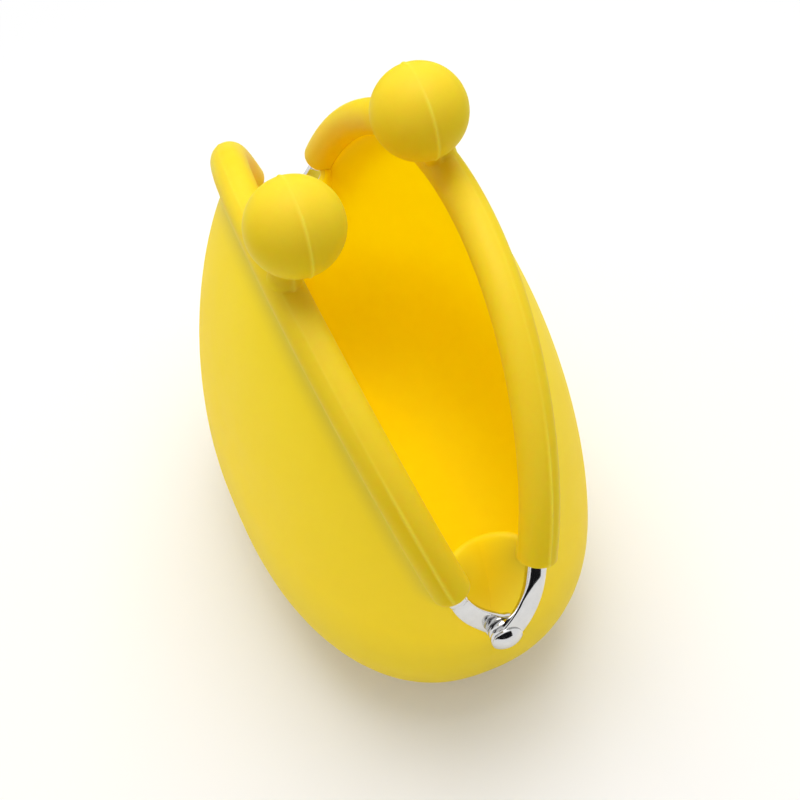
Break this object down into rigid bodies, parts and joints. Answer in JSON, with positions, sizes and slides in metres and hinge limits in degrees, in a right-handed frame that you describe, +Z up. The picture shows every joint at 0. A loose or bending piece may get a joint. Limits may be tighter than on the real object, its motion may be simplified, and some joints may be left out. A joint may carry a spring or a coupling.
{
  "type": "coin purse",
  "caption": "Rounded moulded silicone coin purse with a kiss-lock clasp: silicone-sleeved steel wire rims hinged at both ends, each with a covered clasp ball.",
  "frame": {"origin": "under the middle of the flat base, on the surface that the purse stands on", "axes": "+X along the hinge axis to the right seen from the front, +Y from the front panel to the rear panel, +Z up"},
  "size_m": [0.097, 0.0538, 0.088],
  "materials": {
    "silicone": "satin, slightly translucent",
    "plated_steel": "bright nickel plate"
  },
  "bodies": {
    "pouch": {"pouch": "silicone"},
    "front_half": {"front_frame": "plated_steel", "front_rim_sleeve": "silicone", "front_clasp_stud": "plated_steel", "front_ball_cover": "silicone", "left_rivet": "plated_steel", "left_washer": "plated_steel"},
    "rear_half": {"rear_frame": "plated_steel", "rear_rim_sleeve": "silicone", "rear_clasp_stud": "plated_steel", "rear_ball_cover": "silicone", "right_rivet": "plated_steel", "right_washer": "plated_steel"}
  },
  "joints": [
    {"name": "front_hinge", "type": "hinge", "parent": "pouch", "child": "front_half", "pos_m": [0, 0, 0.031], "axis": [1, 0, 0], "range_deg": [-15.5, 20], "deforming": ["pouch"]},
    {"name": "rear_hinge", "type": "hinge", "parent": "pouch", "child": "rear_half", "pos_m": [0, 0, 0.031], "axis": [-1, 0, 0], "range_deg": [-15.5, 20], "deforming": ["pouch"]}
  ],
  "couplings": [
    {"joint": "rear_hinge", "follows": "front_hinge", "ratio": 1}
  ]
}
